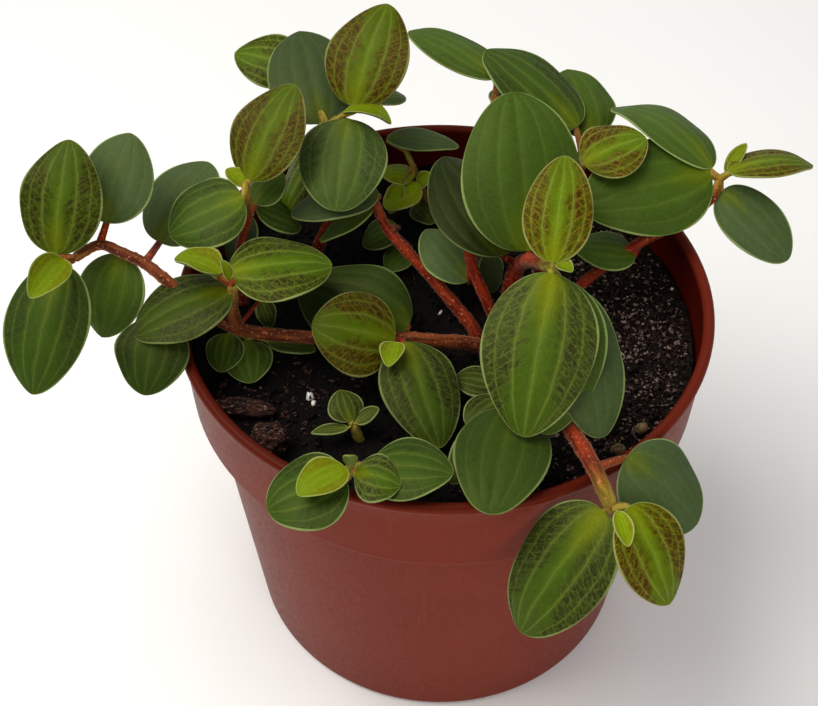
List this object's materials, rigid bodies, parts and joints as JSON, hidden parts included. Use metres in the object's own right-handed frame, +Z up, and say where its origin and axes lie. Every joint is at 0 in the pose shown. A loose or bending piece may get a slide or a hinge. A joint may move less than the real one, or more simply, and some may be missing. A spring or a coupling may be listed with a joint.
{
  "type": "potted plant",
  "caption": "Trailing peperomia with oval, pale-veined, olive and green leaves on red stems, in a round terracotta-coloured nursery pot of dark soil.",
  "frame": {"origin": "middle of the pot's flat underside, on the surface it stands on", "axes": "+Z up along the pot's axis; -Y toward the viewer of the picture; +X to the viewer's right"},
  "size_m": [0.1821, 0.156, 0.142],
  "materials": {
    "pot_plastic": "matt terracotta-coloured plastic, lightly scuffed",
    "soil": "moist dark peat with fibres and a few pale grains",
    "foliage": "green leaves with pale veins on red, finely hairy stems",
    "bark": "fibrous red-brown bark",
    "pebble": "tan grain"
  },
  "bodies": {
    "root": {"pot": "pot_plastic", "soil": "soil", "stem_left": "foliage", "stem_upper_left": "foliage", "stem_top": "foliage", "stem_back_left": "foliage", "shoot_back": "foliage", "stem_back": "foliage", "stem_back_right": "foliage", "stem_front": "foliage", "stem_right": "foliage", "stem_front_right": "foliage", "stem_front_low": "foliage", "shoot_front_left": "foliage", "seedling": "foliage", "shoot_low_left": "foliage", "bark_chip": "bark", "root_ball": "bark", "pebble_a": "pebble", "pebble_b": "pebble"}
  },
  "joints": []
}
